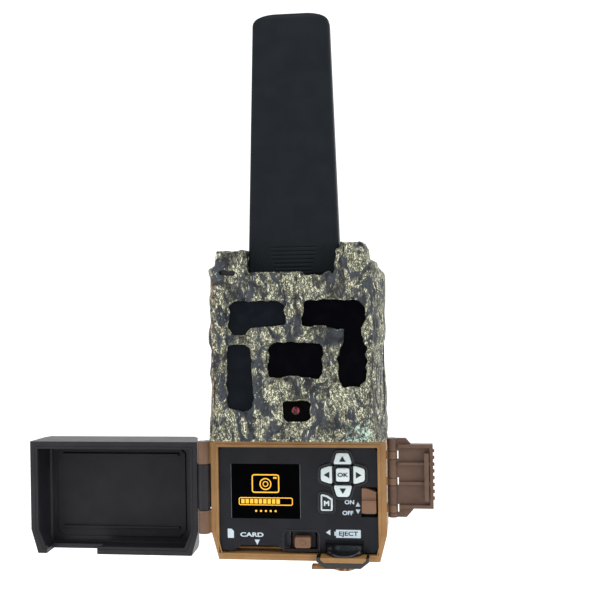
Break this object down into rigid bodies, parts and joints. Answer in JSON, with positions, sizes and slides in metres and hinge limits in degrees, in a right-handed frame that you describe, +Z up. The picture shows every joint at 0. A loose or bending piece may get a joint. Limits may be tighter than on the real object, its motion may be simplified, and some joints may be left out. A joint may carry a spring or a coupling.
{
  "type": "trail camera",
  "caption": "Cellular trail camera with bark-textured housing, swing-out door over a screen and keypad, side latch, fold-back antenna and drop-out battery tray.",
  "frame": {"origin": "mouth of the quarter-inch tripod thread in the middle of the rear", "axes": "+X to the viewer's right when facing the lens, +Y out of the back, +Z up towards the antenna's tip"},
  "size_m": [0.1848, 0.076, 0.2462],
  "materials": {
    "camo_shell": "bark-textured, dipped in a camouflage film",
    "brown_plastic": "satin moulded",
    "latch_plastic": "satin moulded",
    "panel_plastic": "fine satin",
    "antenna_plastic": "fine satin",
    "door_plastic": "satin",
    "smoked_window": "polished smoked acrylic",
    "screen": "polished",
    "lens_glass": "coated",
    "grey_key": "satin",
    "black_key": "satin",
    "circuit_board": "solder mask",
    "black_component": "moulded",
    "steel": "plated",
    "brass": "machined",
    "rubber": "matt",
    "brown_rubber": "matt",
    "led_resin": "clear moulded",
    "copper_foil": "plain",
    "cell_sleeve": "printed sleeve without marks",
    "membrane": "matt"
  },
  "bodies": {
    "housing": {"rear_shell": "camo_shell", "mid_frame": "brown_plastic", "front_shell": "camo_shell", "body_gasket": "rubber", "case_screws": "steel", "strap_bracket": "brown_plastic", "bracket_screws": "steel", "thread_insert": "brass", "window_top_left": "smoked_window", "window_top_right": "smoked_window", "window_left": "smoked_window", "window_center": "smoked_window", "lens_window": "smoked_window", "lens_barrel": "black_component", "lens_element": "lens_glass", "image_sensor_board": "circuit_board", "ir_led_board": "circuit_board", "ir_leds": "led_resin", "motion_sensor": "steel", "light_sensor": "black_component", "main_board": "circuit_board", "cellular_modem": "steel", "control_panel": "panel_plastic", "control_board": "circuit_board", "keypad_membrane": "membrane", "screen_window": "screen", "lcd_module": "black_component", "card_socket": "steel", "power_switch": "steel", "jack_collar": "black_component", "dc_jack": "black_component", "antenna_pin": "steel", "door_pin": "steel", "latch_pin": "steel"},
    "antenna": {"antenna_front": "antenna_plastic", "antenna_back": "antenna_plastic", "antenna_element": "copper_foil"},
    "door": {"door_shell": "door_plastic", "door_liner": "door_plastic", "door_gasket": "rubber"},
    "lever": {"latch_lever": "latch_plastic"},
    "tray": {"battery_tray": "black_component", "tray_contacts": "steel", "tray_gasket": "rubber", "aa_cells": "cell_sleeve"},
    "power_knob": {"power_slider": "brown_plastic"},
    "eject_knob": {"eject_slider": "brown_plastic"},
    "plug": {"jack_plug": "brown_rubber"},
    "up": {"key_up": "grey_key"},
    "down": {"key_down": "grey_key"},
    "left": {"key_left": "grey_key"},
    "right": {"key_right": "grey_key"},
    "ok": {"key_ok": "grey_key"},
    "mode": {"key_mode": "black_key"}
  },
  "joints": [
    {"name": "antenna_fold", "type": "hinge", "parent": "housing", "child": "antenna", "pos_m": [0, -0.057, 0.106], "axis": [-1, 0, 0], "range_deg": [0, 90]},
    {"name": "door_hinge", "type": "hinge", "parent": "housing", "child": "door", "pos_m": [-0.0425, -0.06, -0.002], "axis": [0, 0, 1], "range_deg": [0, 180]},
    {"name": "latch_hinge", "type": "hinge", "parent": "housing", "child": "lever", "pos_m": [0.042, -0.0565, 0.009], "axis": [0, 0, -1], "range_deg": [0, 90]},
    {"name": "tray_slide", "type": "slide", "parent": "housing", "child": "tray", "axis": [0, 0, -1], "range_m": [0, 0.056]},
    {"name": "power_slide", "type": "slide", "parent": "housing", "child": "power_knob", "axis": [0, 0, -1], "range_m": [0, 0.002]},
    {"name": "eject_slide", "type": "slide", "parent": "housing", "child": "eject_knob", "axis": [-1, 0, 0], "range_m": [0, 0.004], "stiffness_N_per_m": 120},
    {"name": "plug_pull", "type": "slide", "parent": "housing", "child": "plug", "axis": [0, 0, -1], "range_m": [0, 0.008]},
    {"name": "up_press", "type": "slide", "parent": "housing", "child": "up", "axis": [0, 1, 0], "range_m": [0, 0.0008], "stiffness_N_per_m": 250},
    {"name": "down_press", "type": "slide", "parent": "housing", "child": "down", "axis": [0, 1, 0], "range_m": [0, 0.0008], "stiffness_N_per_m": 250},
    {"name": "left_press", "type": "slide", "parent": "housing", "child": "left", "axis": [0, 1, 0], "range_m": [0, 0.0008], "stiffness_N_per_m": 250},
    {"name": "right_press", "type": "slide", "parent": "housing", "child": "right", "axis": [0, 1, 0], "range_m": [0, 0.0008], "stiffness_N_per_m": 250},
    {"name": "ok_press", "type": "slide", "parent": "housing", "child": "ok", "axis": [0, 1, 0], "range_m": [0, 0.0008], "stiffness_N_per_m": 250},
    {"name": "mode_press", "type": "slide", "parent": "housing", "child": "mode", "axis": [0, 1, 0], "range_m": [0, 0.0008], "stiffness_N_per_m": 250}
  ]
}
